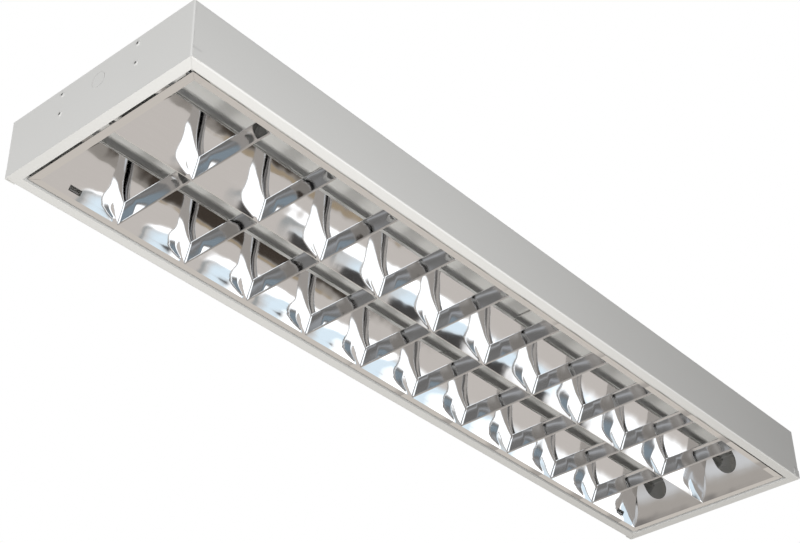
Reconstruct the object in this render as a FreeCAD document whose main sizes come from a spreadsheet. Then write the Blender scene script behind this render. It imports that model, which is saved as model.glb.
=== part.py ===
"""Surface mounted ceiling light for two tube lamps, with a hinged mirror louvre.

Frame: origin at the middle of the ceiling face, X along the light, Z up. All sizes in millimetres.
"""
import FreeCAD, Part
import os
import Sketcher
from FreeCAD import Rotation, Vector

SIZES = (
    # Steel body and end caps
    ("body_length", "1230", "overall length over the end caps"),
    ("body_width", "300", "overall width over the long sides"),
    ("body_height", "80", "ceiling face to the face of the return"),
    ("steel", "0.8", "thickness of the painted steel sheet"),
    ("fold", "2", "outer radius of the folds"),
    ("side_return", "13.8", "width of the return along the long sides"),
    ("end_return", "14.2", "width of the return along the ends"),
    ("return_lip", "10", "height of the lip turned up at the inner edge of the return"),
    ("cap_overlap", "14", "length of the end cap's flange inside the long side"),
    ("seam", "0.1", "gap between folded sheets that meet"),
    ("ear_length", "12", "length of the end cap's ear on the long side"),
    ("ear_height", "12.5", "height of that ear"),
    ("knockout_diameter", "21", "cable knock-out in the end cap"),
    ("knockout_drop", "23", "knock-out centre below the ceiling face"),
    ("knockout_groove", "0.5", "width and depth of the shear line round the knock-out"),
    ("fixing_spacing_x", "900", "ceiling fixing holes, spacing along the light"),
    ("fixing_spacing_y", "240", "ceiling fixing holes, spacing across the light"),
    ("fixing_diameter", "6.5", "ceiling fixing holes"),
    # Louvre
    ("foil", "0.5", "thickness of the mirror aluminium sheet"),
    ("louvre_recess", "1.5", "louvre flange above the face of the return"),
    ("louvre_side_gap", "3.4", "louvre flange to the lip, long sides"),
    ("louvre_end_gap", "4.6", "louvre flange to the lip, ends"),
    ("side_flange", "8.8", "width of the louvre flange along the sides"),
    ("end_flange", "10.2", "width of the louvre flange along the ends"),
    ("reflector_height", "56", "height of the curved reflectors"),
    ("reflector_lean", "44", "how far a side reflector or spine flank leans in at its top"),
    ("reflector_bulge", "3.8", "depth of that curve at half height"),
    ("reflector_lip", "5", "upright lip on the top edge of side reflectors and spine"),
    ("end_lean", "43", "how far an end reflector leans in at its top"),
    ("end_bulge", "2.5", "depth of that curve at half height"),
    ("nose", "1", "width of the folded bottom edge of spine and blades"),
    ("blade_count", "10", "cross blades in each row"),
    ("end_cell", "1.08", "first blade to the end of the louvre opening, as a share of the blade spacing"),
    ("blade_height", "23", "height of a cross blade"),
    ("blade_width", "10", "width of a cross blade at its open top"),
    ("blade_bulge", "0.7", "hollow of a blade flank at half height"),
    ("louvre_fit", "0.2", "clearance between louvre sheets that meet"),
    ("notch_width", "34", "lamp notch in the end reflectors"),
    ("notch_drop", "38.5", "centre of the round of the notch below the ceiling face"),
    ("catch_inset", "45", "catch opening from the end of the louvre opening"),
    ("catch_height", "8.5", "catch opening above the louvre flange"),
    ("catch_length", "17", "length of the catch opening"),
    ("catch_width", "6", "width of the catch opening"),
    # Hinge and catches
    ("pin_diameter", "4", "hinge pin"),
    ("pin_inset", "7.5", "hinge pin axis from the outer edge of the louvre flange"),
    ("pin_rise", "3.5", "hinge pin axis above the louvre flange"),
    ("pin_reach", "3", "hinge pin past the inner face of the end lip"),
    ("running_fit", "0.08", "radial clearance of turning pieces"),
    ("plate", "1", "thickness of hinge plates, corner plates and lampholder brackets"),
    ("plate_length", "24", "length of hinge and corner plates along the flange"),
    ("spring", "0.6", "thickness of the catch springs"),
    ("spring_width", "12", "width of the catch springs"),
    ("spring_clearance", "0.8", "catch spring nose to the side reflector"),
    # Lampholders
    ("lamp_drop", "28", "lamp axis below the ceiling face"),
    ("holder_width", "26", "lampholder body"),
    ("holder_rise", "14", "top of the lampholder body above the lamp axis"),
    ("holder_depth", "13.2", "lampholder body along the lamp"),
    ("rotor_diameter", "18.6", "turning rotor of the lampholder"),
    ("rotor_depth", "5", "thickness of the rotor"),
    ("pin_slot", "3", "slot for the lamp pins"),
    ("contact_spacing", "12.7", "spacing of the contacts"),
    ("contact", "0.6", "thickness of the contact strips"),
    ("contact_width", "3.5", "width of the contact strips"),
    ("contact_depth", "3", "room for the contacts behind the rotor"),
    ("bracket_width", "24", "lampholder bracket"),
    ("bracket_top", "3", "top of the bracket below the ceiling face"),
    ("rivet_shank", "3.2", "pop rivet shank"),
    ("rivet_head", "6.5", "pop rivet head"),
    ("rivet_head_height", "1", "pop rivet head height"),
    ("rivet_upper", "8.5", "upper rivet below the ceiling face"),
    ("rivet_lower", "36.5", "lower rivet below the ceiling face"),
    ("rivet_room", "1.8", "hollow in the lampholder back over the lower rivet"),
    # Control gear
    ("ballast_length", "360", "ballast case"),
    ("ballast_width", "30", "ballast case"),
    ("ballast_height", "21", "ballast case"),
    ("ballast_foot", "14", "length of the fixing foot at each end of the ballast"),
    ("ballast_x", "-120", "middle of the ballast along the light"),
    ("foot", "1.2", "thickness of the ballast foot"),
    ("screw_shank", "4", "fixing screws"),
    ("screw_head", "7", "heads of the fixing screws"),
    ("screw_head_height", "2.4", "heads of the fixing screws"),
    ("block_length", "34", "mains terminal block along the light"),
    ("block_width", "18", "mains terminal block"),
    ("block_height", "16", "mains terminal block"),
    ("block_x", "150", "middle of the terminal block along the light"),
    ("block_ways", "3", "ways of the terminal block"),
    ("block_hole", "4.5", "wire holes of the terminal block"),
    ("earth_x", "190", "earth stud along the light"),
    ("earth_length", "14", "earth stud below the top pan"),
    ("nut_width", "7", "earth nut across its flats"),
    ("nut_height", "3.2", "earth nut"),
    ("entry_x", "240", "cable entry along the light"),
    ("entry_diameter", "20", "cable entry hole in the top pan"),
    ("bush_bore", "14", "bore of the cable entry bush"),
    ("bush_flange", "27", "flange of the cable entry bush"),
    ("bush_depth", "4", "flange and collar of the bush below the top pan"),
    # Wires
    ("wire", "2", "diameter of the sleeved wires"),
    ("wire_bend", "5", "bend radius of the wires"),
    ("wire_drop", "3.2", "lamp wires below the ceiling face"),
    ("wire_out", "24", "lamp wires past the end of the ballast before they turn"),
    ("wire_offset", "10", "lamp wires from the middle of the ballast"),
    ("wire_entry", "10.6", "wire hole behind the front face of a lampholder"),
    ("wire_hole_depth", "4", "wire hole in the top of a lampholder"),
    ("lead_offset", "13", "mains leads from the middle of the ballast"),
)

HALF_L = "(D.body_length / 2)"
HALF_W = "(D.body_width / 2)"
LIP_X = f"({HALF_L} - D.end_return)"
LIP_Y = f"({HALF_W} - D.side_return)"
FLANGE_X = f"({LIP_X} - D.louvre_end_gap)"
FLANGE_Y = f"({LIP_Y} - D.louvre_side_gap)"
OPEN_X = f"({FLANGE_X} - D.end_flange)"
OPEN_Y = f"({FLANGE_Y} - D.side_flange)"
ROW_Y = f"({OPEN_Y} / 2)"
BLADE_PITCH = f"(2 * {OPEN_X} / (D.blade_count - 1 + 2 * D.end_cell))"
LOUVRE_Z = "(D.louvre_recess - D.body_height)"
RETURN_Z = "(-D.body_height)"
CAP_X = f"({HALF_L} - D.steel)"
WALL_X = f"({HALF_L} - D.fold - D.seam)"
HOLDER_X = f"({CAP_X} - D.plate - D.holder_depth)"
PIN_Y = f"({FLANGE_Y} - D.pin_inset)"
PIN_Z = f"({LOUVRE_Z} + D.pin_rise)"
CATCH_X = f"({OPEN_X} - D.catch_inset)"
CATCH_Z = f"({LOUVRE_Z} + D.catch_height)"
BLOCK_WIRE_Z = "(-D.steel - D.block_height / 3)"
CATCH_SHARE = "(D.catch_height / D.reflector_height)"
CATCH_BULGE = f"4 * D.reflector_bulge * {CATCH_SHARE} * (1 - {CATCH_SHARE})"
CATCH_Y = f"({OPEN_Y} - D.reflector_lean * {CATCH_SHARE} + {CATCH_BULGE})"

ENDS = {"left": -1, "right": 1}
ROWS = {"front": -1, "rear": 1}
HALF_TURN = Rotation(Vector(0, 0, 1), 180)
ALONG_X = Rotation(Vector(0, 1, 0), 90)
FROM_X = Rotation(Vector(0, 1, 0), -90)

doc = FreeCAD.newDocument("louvre_light")
sheet = doc.addObject("Spreadsheet::Sheet", "D")
for number, (alias, value, meaning) in enumerate(SIZES, start=1):
    sheet.set(f"A{number}", meaning)
    sheet.set(f"B{number}", value)
    sheet.setAlias(f"B{number}", alias)
doc.recompute()

nodes = []


def measure(expression):
    """The number that an expression on the sheet comes to."""
    return float(sheet.evalExpression(expression))


def node(thing, label):
    """Names a finished sub-part and keeps it for writing."""
    thing.Label = label
    nodes.append(thing)
    return thing


def settle(thing, at=("0", "0", "0"), turn=None):
    """Places an object, with each coordinate bound to the sheet."""
    if turn:
        thing.Placement = FreeCAD.Placement(Vector(), turn)
    for axis, expression in zip("xyz", at):
        thing.setExpression(f"Placement.Base.{axis}", expression)
    return thing


def new_body(name):
    return doc.addObject("PartDesign::Body", name)


def draw(body, name, role, outlines, offset="0"):
    """A sketch of closed outlines on an origin plane of its body.

    A corner is (across, up). A point (across, up, "arc") is the middle of an arc between its neighbours.
    """
    plane = next(item for item in body.Origin.OriginFeatures if item.Role == role)
    sketch = body.newObject("Sketcher::SketchObject", name)
    sketch.AttachmentSupport = [(plane, "")]
    sketch.MapMode = "FlatFace"
    sketch.setExpression("AttachmentOffset.Base.z", offset)
    for outline in outlines:
        draw_outline(sketch, outline)
    return sketch


def draw_outline(sketch, outline):
    spots = [Vector(measure(point[0]), measure(point[1]), 0) for point in outline]
    corners = [index for index, point in enumerate(outline) if len(point) == 2]
    edges = []
    rules = []
    bindings = []
    for order, first in enumerate(corners):
        last = corners[(order + 1) % len(corners)]
        middle = (first + 1) % len(outline)
        if middle == last:
            edge = sketch.addGeometry(Part.LineSegment(spots[first], spots[last]), False)
            edges.append((edge, 1, 2, first))
            continue
        edge = sketch.addGeometry(Part.Arc(spots[first], spots[middle], spots[last]), False)
        forward = sketch.getPoint(edge, 1).distanceToPoint(spots[first])
        backward = sketch.getPoint(edge, 2).distanceToPoint(spots[first])
        edges.append((edge, 1, 2, first) if forward < backward else (edge, 2, 1, first))
        mark = sketch.addGeometry(Part.Point(spots[middle]), True)
        rules.append(Sketcher.Constraint("PointOnObject", mark, 1, edge))
        bindings.append((mark, 1, middle))
    for order, (edge, start, end, first) in enumerate(edges):
        following = edges[(order + 1) % len(edges)]
        rules.append(Sketcher.Constraint("Coincident", edge, end, following[0], following[1]))
        bindings.append((edge, start, first))
    sketch.addConstraint(rules)
    for shape, end, index in bindings:
        for kind, number in (("DistanceX", 0), ("DistanceY", 1)):
            size = spots[index][number]
            rule = sketch.addConstraint(Sketcher.Constraint(kind, -1, 1, shape, end, size))
            sketch.setExpression(f"Constraints[{rule}]", outline[index][number])


def draw_circles(body, name, role, circles, offset="0"):
    """A sketch of circles, each (across, up, radius), on an origin plane of its body."""
    sketch = draw(body, name, role, [], offset)
    for across, up, radius in circles:
        centre = Vector(measure(across), measure(up), 0)
        circle = sketch.addGeometry(Part.Circle(centre, Vector(0, 0, 1), measure(radius)), False)
        rules = (
            (Sketcher.Constraint("DistanceX", -1, 1, circle, 3, centre.x), across),
            (Sketcher.Constraint("DistanceY", -1, 1, circle, 3, centre.y), up),
            (Sketcher.Constraint("Radius", circle, measure(radius)), radius),
        )
        for rule, expression in rules:
            sketch.setExpression(f"Constraints[{sketch.addConstraint(rule)}]", expression)
    return sketch


def pad(body, sketch, length, both_ways=False, back=False):
    feature = body.newObject("PartDesign::Pad", sketch.Name + "_pad")
    feature.Profile = sketch
    feature.setExpression("Length", length)
    feature.SideType = "Symmetric" if both_ways else "One side"
    feature.Reversed = back
    doc.recompute()
    return feature


def pocket(body, sketch, depth, both_ways=False, back=False):
    """Cuts a sketch out of its body and makes sure that the cut took material away."""
    before = body.Shape.Volume
    feature = body.newObject("PartDesign::Pocket", sketch.Name + "_pocket")
    feature.Profile = sketch
    feature.setExpression("Length", depth)
    feature.SideType = "Symmetric" if both_ways else "One side"
    feature.Reversed = back
    doc.recompute()
    if body.Shape.Volume >= before:
        raise RuntimeError(f"{sketch.Name} cuts nothing")
    return feature


def turned(body, name, outline):
    """A solid of revolution about Z, from a half section in the XZ plane."""
    section = draw(body, name + "_section", "XZ_Plane", [outline])
    feature = body.newObject("PartDesign::Revolution", name)
    feature.Profile = section
    feature.ReferenceAxis = (section, ["V_Axis"])
    feature.Angle = 360
    doc.recompute()
    return feature


def round_folds(body, feature, radius, chosen):
    """Rounds those straight edges along X whose middle passes the test."""
    names = []
    for number, edge in enumerate(feature.Shape.Edges, start=1):
        box = edge.BoundBox
        if box.YLength < 0.01 and box.ZLength < 0.01 and chosen(box.Center):
            names.append(f"Edge{number}")
    rounding = body.newObject("PartDesign::Fillet", feature.Name + "_folds")
    rounding.Base = (feature, names)
    rounding.setExpression("Radius", radius)
    doc.recompute()
    return rounding


def block(name, size, at):
    """A box with its lowest corner at a point."""
    thing = doc.addObject("Part::Box", name)
    for side, expression in zip(("Length", "Width", "Height"), size):
        thing.setExpression(side, expression)
    return settle(thing, at)


def rod(name, radius, length, at, turn=None):
    """A cylinder from a point, along Z unless it is turned."""
    thing = doc.addObject("Part::Cylinder", name)
    thing.setExpression("Radius", radius)
    thing.setExpression("Height", length)
    return settle(thing, at, turn)


def boolean(kind, name, base, tools):
    feature = doc.addObject("Part::" + kind, name)
    feature.Base = base
    if len(tools) == 1:
        feature.Tool = tools[0]
    else:
        feature.Tool = doc.addObject("Part::Compound", name + "_tools")
        feature.Tool.Links = tools
    return feature


def group(name, members):
    feature = doc.addObject("Part::Compound", name)
    feature.Links = members
    return feature


def minus(expression):
    return f"(-{expression})"


def both(expression):
    return ((-1, minus(expression)), (1, expression))


# Steel body: one folded sheet with returns, lips and the holes in its top pan


def make_body_shell():
    body = new_body("body_shell")
    half = (
        (LIP_Y, f"{RETURN_Z} + D.return_lip"),
        (LIP_Y, RETURN_Z),
        (HALF_W, RETURN_Z),
        (HALF_W, "0"),
    )
    inner = (
        (f"{HALF_W} - D.steel", "-D.steel"),
        (f"{HALF_W} - D.steel", f"{RETURN_Z} + D.steel"),
        (f"{LIP_Y} + D.steel", f"{RETURN_Z} + D.steel"),
        (f"{LIP_Y} + D.steel", f"{RETURN_Z} + D.return_lip"),
    )
    mirrored = [(f"-({across})", up) for across, up in half]
    mirrored_inner = [(f"-({across})", up) for across, up in inner]
    outline = mirrored + list(reversed(half)) + list(reversed(inner)) + mirrored_inner
    section = draw(body, "shell_section", "YZ_Plane", [outline])
    sheet_metal = pad(body, section, f"2 * {WALL_X}", both_ways=True)
    edge_y = measure(HALF_W)
    round_folds(body, sheet_metal, "D.fold", lambda spot: abs(abs(spot.y) - edge_y) < 0.01)
    mitre = [
        (f"{LIP_X} - 2 * D.seam", f"{LIP_Y} - D.seam"),
        (f"{LIP_X} - 2 * D.seam", LIP_Y),
        (f"{HALF_L} - 2 * D.seam", HALF_W),
        (HALF_L, HALF_W),
        (HALF_L, f"{LIP_Y} - D.seam"),
    ]
    mitres = []
    for side in (-1, 1):
        for end in (-1, 1):
            mitres.append([(f"{end} * ({across})", f"{side} * ({up})") for across, up in mitre])
    pocket(body, draw(body, "mitre_cuts", "XY_Plane", mitres, f"{RETURN_Z} + D.return_lip + D.steel"),
           "D.return_lip + 2 * D.steel")
    holes = [("D.entry_x", "0", "D.entry_diameter / 2"), ("D.earth_x", "0", "D.screw_shank / 2 + D.seam")]
    for _, across in both("D.fixing_spacing_x / 2"):
        for _, up in both("D.fixing_spacing_y / 2"):
            holes.append((across, up, "D.fixing_diameter / 2"))
    for end in (-1, 1):
        holes.append((ballast_screw_x(end), "0", "D.screw_shank / 2 + D.seam"))
    pocket(body, draw_circles(body, "top_holes", "XY_Plane", holes), "D.steel * 2", both_ways=True)
    node(body, "body_shell")


# End cap: end wall with rounded folds, inner flanges, mitred return with its lip, and corner ears


def make_end_cap(end):
    name = f"end_cap_{end}"
    wall = new_body(name + "_wall")
    inside_y = f"{HALF_W} - D.steel - D.seam"
    fold_x = f"{HALF_L} - D.fold"
    turn_x = f"{HALF_L} - D.fold * (1 - sqrt(0.5))"
    turn_y = f"{HALF_W} - D.fold * (1 - sqrt(0.5))"
    half = [
        (HALF_L, f"{HALF_W} - D.fold"),
        (turn_x, turn_y, "arc"),
        (fold_x, HALF_W),
        (fold_x, inside_y),
        (f"{HALF_L} - D.cap_overlap", inside_y),
        (f"{HALF_L} - D.cap_overlap", f"{inside_y} - D.steel"),
        (CAP_X, f"{inside_y} - D.steel"),
    ]
    mirrored = [(point[0], f"-({point[1]})") + tuple(point[2:]) for point in reversed(half)]
    top = "-D.steel - D.seam"
    plan = draw(wall, name + "_plan", "XY_Plane", [half + mirrored], RETURN_Z)
    pad(wall, plan, "D.body_height - D.steel - D.seam")
    cap_return = new_body(name + "_return")
    corner_y = f"({HALF_W} - D.fold)"
    mitre_x = f"{LIP_X} + (D.side_return - D.fold) * D.end_return / D.side_return"
    trim = [
        (HALF_L, corner_y),
        (mitre_x, corner_y),
        (LIP_X, LIP_Y),
        (LIP_X, minus(LIP_Y)),
        (mitre_x, minus(corner_y)),
        (HALF_L, minus(corner_y)),
    ]
    pad(cap_return, draw(cap_return, name + "_trim", "XY_Plane", [trim], RETURN_Z), "D.steel")
    lip_size = ("D.steel", f"2 * {LIP_Y}", "D.return_lip")
    lip = block(name + "_lip", lip_size, (LIP_X, minus(LIP_Y), RETURN_Z))
    flap_size = ("D.steel", f"2 * ({inside_y})", "D.steel + D.seam")
    flap = block(name + "_flap", flap_size, (CAP_X, f"-({inside_y})", top))
    pieces = [wall, cap_return, lip, flap]
    root_x = f"{HALF_L} - D.fold / 2"
    ear_x = f"{fold_x} - D.ear_length"
    for side in (-1, 1):
        ear = new_body(f"{name}_ear{side}")
        lap = [
            (ear_x, f"{HALF_W} + D.seam"),
            (fold_x, f"{HALF_W} + D.seam"),
            (fold_x, inside_y),
            (root_x, inside_y),
            (root_x, f"{HALF_W} + D.steel"),
            (ear_x, f"{HALF_W} + D.steel"),
        ]
        lap = [(across, f"{side} * ({up})") for across, up in lap]
        pad(ear, draw(ear, f"{name}_ear_plan{side}", "XY_Plane", [lap], RETURN_Z), "D.ear_height")
        pieces.append(ear)
    whole = doc.addObject("Part::MultiFuse", name + "_whole")
    whole.Shapes = pieces
    whole.Refine = True
    room_size = ("D.cap_overlap - D.fold + D.seam", "D.steel + 2 * D.seam", "D.steel + 2 * D.seam")
    room_x = f"{HALF_L} - D.cap_overlap - D.seam"
    cuts = []
    for row, across in both(ROW_Y):
        room_y = f"{row} * ({inside_y} - D.steel / 2) - D.steel / 2 - D.seam"
        cuts.append(block(f"{name}_room{row}", room_size, (room_x, room_y, f"{RETURN_Z} - D.seam")))
        for spot in ("upper", "lower"):
            at = (f"{CAP_X} - D.steel", across, f"-D.rivet_{spot}")
            size = ("D.rivet_shank / 2 + D.seam", "3 * D.steel")
            cuts.append(rod(f"{name}_rivet_{spot}{row}", *size, at, ALONG_X))
        at = (f"{LIP_X} - D.steel", f"{row} * {PIN_Y}", PIN_Z)
        size = ("D.pin_diameter / 2 + D.running_fit", "3 * D.steel")
        cuts.append(rod(f"{name}_pin{row}", *size, at, ALONG_X))
    ring_at = (f"{HALF_L} - D.knockout_groove", "0", "-D.knockout_drop")
    ring = rod(name + "_ring", "D.knockout_diameter / 2", "D.steel", ring_at, ALONG_X)
    disc = rod(name + "_disc", "D.knockout_diameter / 2 - D.knockout_groove", "D.steel", ring_at, ALONG_X)
    cuts.append(boolean("Cut", name + "_groove", ring, [disc]))
    cap = boolean("Cut", name, whole, cuts)
    if ENDS[end] < 0:
        settle(cap, turn=HALF_TURN)
    node(cap, name)


# Louvre sheets


def side_curve(start, rise, shift="0", sign=1):
    """Foot, middle and top of the curve of a side reflector or spine flank, leaning by sign."""
    middle = f"{start} + {sign} * (D.reflector_lean / 2 - D.reflector_bulge) + ({shift})"
    top = f"{start} + {sign} * D.reflector_lean + ({shift})"
    return (
        (f"{start} + ({shift})", f"{LOUVRE_Z} + {rise}"),
        (middle, f"{LOUVRE_Z} + D.reflector_height / 2", "arc"),
        (top, f"{LOUVRE_Z} + D.reflector_height"),
    )


def make_side_reflector(row):
    name = f"side_reflector_{row}"
    body = new_body(name + "_sheet")
    face = side_curve(OPEN_Y, "0", sign=-1)
    back = side_curve(OPEN_Y, "D.foil", "D.foil", sign=-1)
    lip_z = f"{LOUVRE_Z} + D.reflector_height + D.reflector_lip"
    outline = [
        (FLANGE_Y, LOUVRE_Z),
        *face,
        (face[2][0], lip_z),
        (back[2][0], lip_z),
        *reversed(back),
        (FLANGE_Y, f"{LOUVRE_Z} + D.foil"),
    ]
    pad(body, draw(body, name + "_section", "YZ_Plane", [outline]), f"2 * {FLANGE_X}", both_ways=True)
    inner_y = f"{OPEN_Y} - D.reflector_lean - D.foil"
    ends = []
    for end in (-1, 1):
        far = f"{end} * ({FLANGE_X} + D.end_flange)"
        foot = f"{end} * ({OPEN_X} - D.louvre_fit)"
        tip = f"{end} * ({FLANGE_X} - D.louvre_fit)"
        ends.append([(foot, inner_y), (foot, OPEN_Y), (tip, FLANGE_Y), (far, FLANGE_Y), (far, inner_y)])
    cut_height = "3 * D.reflector_height"
    pocket(body, draw(body, name + "_mitres", "XY_Plane", ends, LOUVRE_Z), cut_height, both_ways=True)
    slots = []
    for _, across in both(CATCH_X):
        left, right = f"{across} - D.catch_length / 2", f"{across} + D.catch_length / 2"
        low, high = f"{CATCH_Z} - D.catch_width / 2", f"{CATCH_Z} + D.catch_width / 2"
        slots.append([(left, low), (right, low), (right, high), (left, high)])
    pocket(body, draw(body, name + "_slots", "XZ_Plane", slots), f"3 * {OPEN_Y}", both_ways=True)
    if ROWS[row] < 0:
        settle(body, turn=HALF_TURN)
    node(body, name)


def make_spine():
    body = new_body("spine_reflector_sheet")
    face = side_curve("D.nose / 2", "0")
    lip_z = f"{LOUVRE_Z} + D.reflector_height + D.reflector_lip"
    inner = side_curve("D.nose / 2", "0", "-D.foil")
    back = [(point[0], f"{point[1]} + D.foil / 2", *point[2:]) for point in inner]
    well = ("0", back[0][1])
    half = [*face, (face[2][0], lip_z), (back[2][0], lip_z), back[2], back[1]]
    mirrored = [(f"-({point[0]})", *point[1:]) for point in reversed(half)]
    section = draw(body, "spine_section", "YZ_Plane", [[*half, well, *mirrored]])
    pad(body, section, f"2 * ({OPEN_X} - D.louvre_fit)", both_ways=True)
    node(body, "spine_reflector")


def make_row_space(row):
    """The clear space between the spine and a side reflector, less the clearance of what fits in it."""
    body = new_body(f"row_space_{row}")
    near = side_curve("D.nose / 2", "0", "D.louvre_fit")
    far = side_curve(OPEN_Y, "0", "-D.louvre_fit", sign=-1)
    outline = [*near, *reversed(far)]
    if ROWS[row] < 0:
        outline = [(f"-({point[0]})", *point[1:]) for point in reversed(outline)]
    pad(body, draw(body, f"row_space_{row}_section", "YZ_Plane", [outline]), f"2 * {OPEN_X}", both_ways=True)
    return body


def make_end_reflector(end, spaces):
    name = f"end_reflector_{end}"
    flange = new_body(name + "_flange")
    trim = [
        (FLANGE_X, f"{FLANGE_Y} - D.louvre_fit"),
        (OPEN_X, f"{OPEN_Y} - D.louvre_fit"),
        (OPEN_X, f"-({OPEN_Y} - D.louvre_fit)"),
        (FLANGE_X, f"-({FLANGE_Y} - D.louvre_fit)"),
    ]
    pad(flange, draw(flange, name + "_trim", "XY_Plane", [trim], LOUVRE_Z), "D.foil")
    wing = new_body(name + "_wing")
    middle_x = f"{OPEN_X} - D.end_lean / 2 + D.end_bulge"
    middle_z = f"{LOUVRE_Z} + D.reflector_height / 2"
    top_x, top_z = f"{OPEN_X} - D.end_lean", f"{LOUVRE_Z} + D.reflector_height"
    outline = [
        (OPEN_X, LOUVRE_Z),
        (middle_x, middle_z, "arc"),
        (top_x, top_z),
        (f"{top_x} + D.foil", top_z),
        (f"{middle_x} + D.foil", middle_z, "arc"),
        (f"{OPEN_X} + D.foil", LOUVRE_Z),
    ]
    pad(wing, draw(wing, name + "_section", "XZ_Plane", [outline]), f"2 * {OPEN_Y}", both_ways=True)
    pieces = [flange]
    for row, space in spaces.items():
        pieces.append(boolean("Common", f"{name}_{row}_wing", wing, [space]))
    whole = doc.addObject("Part::MultiFuse", name + "_whole")
    whole.Shapes = pieces
    cuts = []
    for row, across in both(ROW_Y):
        reach = "D.end_lean + D.end_flange"
        start = f"{OPEN_X} - D.end_lean - D.foil"
        at = (start, across, "-D.notch_drop")
        cuts.append(rod(f"{name}_notch{row}", "D.notch_width / 2", reach, at, ALONG_X))
        at = (start, f"{across} - D.notch_width / 2", "-D.notch_drop")
        cuts.append(block(f"{name}_slot{row}", (reach, "D.notch_width", "D.notch_drop"), at))
    notched = boolean("Cut", name, whole, cuts)
    if ENDS[end] < 0:
        settle(notched, turn=HALF_TURN)
    node(notched, name)


def make_blades(spaces):
    body = new_body("blade_section")
    top = f"{LOUVRE_Z} + D.blade_height"
    middle = f"{LOUVRE_Z} + D.blade_height / 2"
    bend = "D.nose / 4 + D.blade_width / 4 - D.blade_bulge"
    half = [
        ("D.nose / 2", LOUVRE_Z),
        (bend, middle, "arc"),
        ("D.blade_width / 2", top),
        ("D.blade_width / 2 - D.foil", top),
        (f"{bend} - D.foil", middle, "arc"),
    ]
    mirrored = [(f"-({point[0]})", *point[1:]) for point in reversed(half)]
    outline = half + [("0", f"{LOUVRE_Z} + 2 * D.foil")] + mirrored
    section = draw(body, "blade_outline", "XZ_Plane", [outline])
    count = int(measure("D.blade_count"))
    for number in range(1, count + 1):
        place = f"{BLADE_PITCH} * ({number} - (D.blade_count + 1) / 2)"
        strip = doc.addObject("Part::Extrusion", f"blade_strip_{number:02d}")
        strip.Base = section
        strip.DirMode = "Custom"
        strip.Dir = Vector(0, 1, 0)
        strip.setExpression("LengthFwd", f"2 * {OPEN_Y}")
        strip.Symmetric = True
        strip.Solid = True
        settle(strip, (place, "0", "0"))
        for row, space in spaces.items():
            label = f"cross_blade_{row}_{number:02d}"
            node(boolean("Common", label, strip, [space]), label)


# Louvre hinge, corner plates and catches


def make_louvre_plate(label, end, side):
    """An angle plate on the louvre's corner: it ties both flanges, and on the hinge side carries a pin."""
    body = new_body(label)
    outer_x = f"({FLANGE_X} - D.seam)"
    inner_x = f"({OPEN_X} + D.foil + D.louvre_fit)"
    outer_y = f"({FLANGE_Y} - D.seam)"
    inner_y = f"({OPEN_Y} + D.foil + D.louvre_fit)"
    outline = [
        (outer_x, outer_y),
        (f"{outer_x} - D.plate_length", outer_y),
        (f"{outer_x} - D.plate_length", inner_y),
        (inner_x, inner_y),
        (inner_x, f"{outer_y} - D.plate_length"),
        (outer_x, f"{outer_y} - D.plate_length"),
    ]
    outline = [(f"{end} * ({across})", f"{side} * ({up})") for across, up in outline]
    base_z = f"{LOUVRE_Z} + D.foil"
    pad(body, draw(body, label + "_plan", "XY_Plane", [outline], base_z), "D.plate")
    return body


def make_hinge_plate(end):
    sign = ENDS[end]
    label = f"hinge_plate_{end}"
    base = make_louvre_plate(label + "_base", sign, -1)
    low_x = f"{FLANGE_X} - D.seam - D.plate" if sign > 0 else f"-({FLANGE_X} - D.seam)"
    boss = "1.6 * D.pin_diameter"
    rise = "D.pin_rise - D.foil + D.pin_diameter"
    upright = block(label + "_upright", ("D.plate", boss, rise),
                    (low_x, f"-{PIN_Y} - {boss} / 2", f"{LOUVRE_Z} + D.foil"))
    whole = doc.addObject("Part::MultiFuse", label + "_whole")
    whole.Shapes = [base, upright]
    whole.Refine = True
    hole = rod(label + "_hole", "D.pin_diameter / 2", "2 * D.plate",
               (f"{low_x} - D.plate / 2", minus(PIN_Y), PIN_Z), ALONG_X)
    node(boolean("Cut", label, whole, [hole]), label)


def make_hinge_pins():
    pins = []
    for end, sign in ENDS.items():
        start = f"{sign} * ({FLANGE_X} - D.seam - D.plate)"
        length = "D.louvre_end_gap + D.seam + D.plate + D.pin_reach"
        at = (start, minus(PIN_Y), PIN_Z)
        turn = ALONG_X if sign > 0 else FROM_X
        pins.append(rod(f"hinge_pin_{end}", "D.pin_diameter / 2", length, at, turn))
    node(group("hinge_pins", pins), "hinge_pins")


def make_catch_spring(end):
    """A leaf spring on the rear long side, with a rounded nose at the louvre's catch opening."""
    sign = ENDS[end]
    label = f"catch_spring_{end}"
    body = new_body(label)
    wall_y = f"({HALF_W} - D.steel)"
    nose_y = f"({CATCH_Y} + D.foil + D.spring_clearance)"
    foot_z = f"({CATCH_Z} + 2 * D.catch_height)"
    bend_z = f"({CATCH_Z} + D.catch_height / 2)"
    nose = "D.catch_width / 4"
    tail_y = f"{nose_y} + 3 * {nose}"
    tail_z = f"{CATCH_Z} - 2 * {nose}"
    outline = [
        (wall_y, foot_z),
        (f"{wall_y} - D.spring", foot_z),
        (f"{wall_y} - D.spring", bend_z),
        (f"{nose_y} + {nose}", f"{CATCH_Z} + {nose}"),
        (nose_y, CATCH_Z, "arc"),
        (f"{nose_y} + {nose}", f"{CATCH_Z} - {nose}"),
        (tail_y, tail_z),
        (f"{tail_y} + D.spring / 2", f"{tail_z} + D.spring"),
        (f"{nose_y} + {nose} + 2 * D.spring", CATCH_Z),
        (wall_y, f"{bend_z} - D.spring"),
    ]
    section = draw(body, label + "_section", "YZ_Plane", [outline], f"{sign} * {CATCH_X}")
    pad(body, section, "D.spring_width", both_ways=True)
    node(body, label)


# Lampholders: a body open at the front, a rotor that turns in it, contacts, and a riveted bracket


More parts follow.
